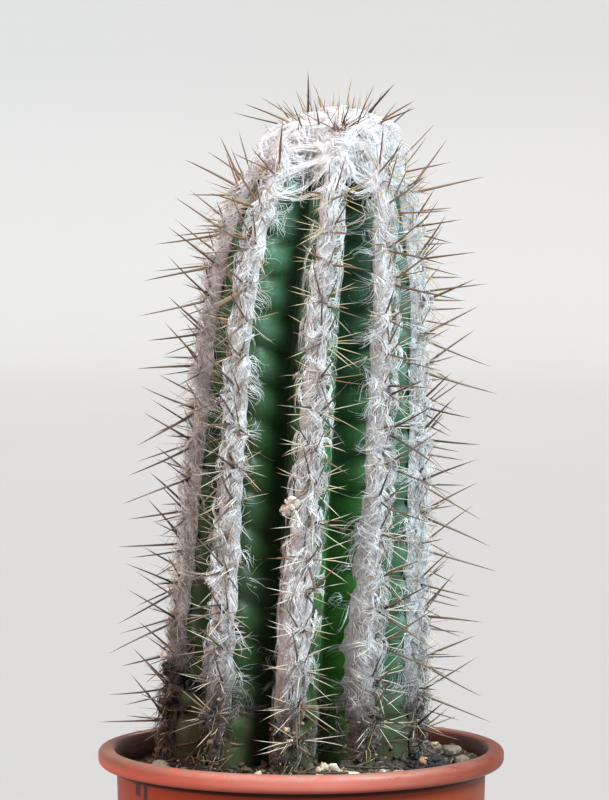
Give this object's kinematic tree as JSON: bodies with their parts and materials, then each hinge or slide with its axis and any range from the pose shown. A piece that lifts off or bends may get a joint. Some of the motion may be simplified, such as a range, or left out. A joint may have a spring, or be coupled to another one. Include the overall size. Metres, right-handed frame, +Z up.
{
  "type": "potted ribbed columnar cactus",
  "caption": "Young ribbed columnar cactus with woolly, spiny ribs, standing in soil in a tapered plastic nursery pot with a rolled rim.",
  "frame": {"origin": "centre of the pot's flat base", "axes": "+Z up along the plant, -Y towards the front of the plant, +X to the right seen from the front"},
  "size_m": [0.12, 0.12, 0.3046],
  "materials": {
    "pot_plastic": "terracotta-coloured moulded plastic, satin, with chalky dust along the rim",
    "potting_soil": "dark crumbly compost with grit and small pebbles",
    "green_skin": "waxy blue-green plant skin with a faint bloom; rubber stands for plant tissue",
    "wool_and_spines": "matted white wool with straw and brown spines"
  },
  "bodies": {
    "root": {"pot": "pot_plastic", "soil": "potting_soil", "stem": "green_skin", "fleece_rib_1": "wool_and_spines", "fleece_rib_2": "wool_and_spines", "fleece_rib_3": "wool_and_spines", "fleece_rib_4": "wool_and_spines", "fleece_rib_5": "wool_and_spines", "fleece_rib_6": "wool_and_spines", "fleece_rib_7": "wool_and_spines", "fleece_rib_8": "wool_and_spines", "fleece_rib_9": "wool_and_spines", "crown_fleece": "wool_and_spines"}
  },
  "joints": []
}
